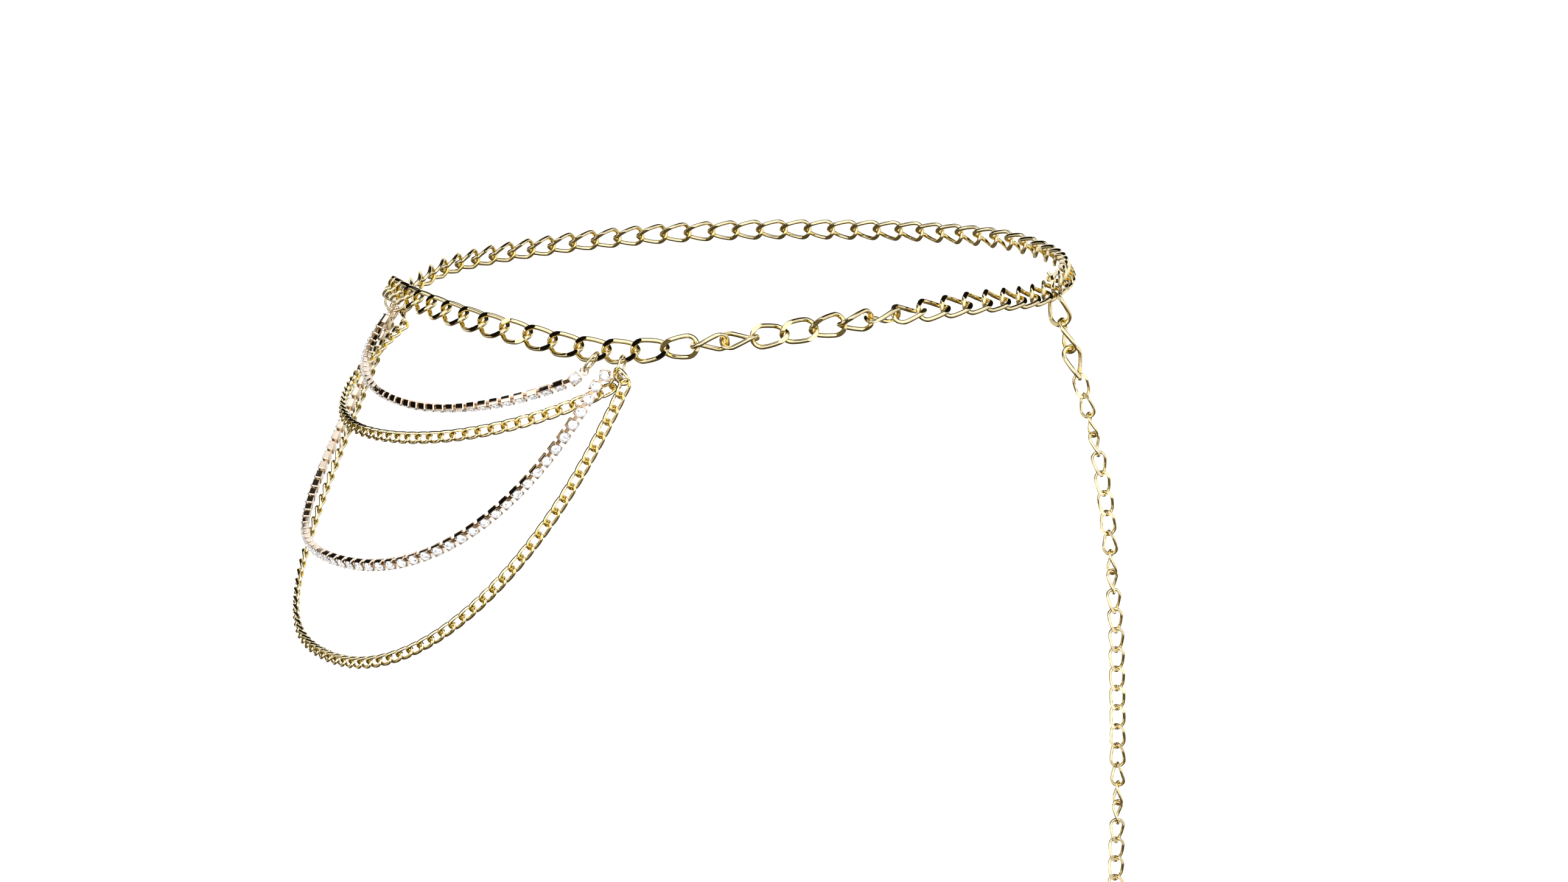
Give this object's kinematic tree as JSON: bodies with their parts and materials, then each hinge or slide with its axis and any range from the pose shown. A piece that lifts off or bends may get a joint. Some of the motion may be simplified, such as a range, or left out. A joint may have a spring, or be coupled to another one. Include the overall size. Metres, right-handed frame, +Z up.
{
  "type": "waist chain",
  "caption": "Worn waist chain of pale gold curb links with a clasp, a hanging tail of smaller links, and rhinestone and small curb swags draped over one hip.",
  "frame": {"origin": "centre of the worn loop, where it lies round the waist", "axes": "+Z up, the wearer faces -Y, and the swags lie over the wearer's right hip, at -X"},
  "size_m": [0.3136, 0.2634, 0.2415],
  "materials": {
    "gold": "polished pale yellow gold plate",
    "stones_in_cups": "clear cut stones in rose gold cups"
  },
  "bodies": {
    "root": {"waist_chain_front": "gold", "waist_chain_back": "gold", "clasp": "gold", "tail_large_links": "gold", "tail_small_links": "gold", "front_ring_upper": "gold", "front_ring_lower": "gold", "back_ring_upper": "gold", "back_ring_lower": "gold", "stone_swag_upper": "stones_in_cups", "stone_swag_lower": "stones_in_cups", "curb_swag_upper": "gold", "curb_swag_lower": "gold"}
  },
  "joints": []
}
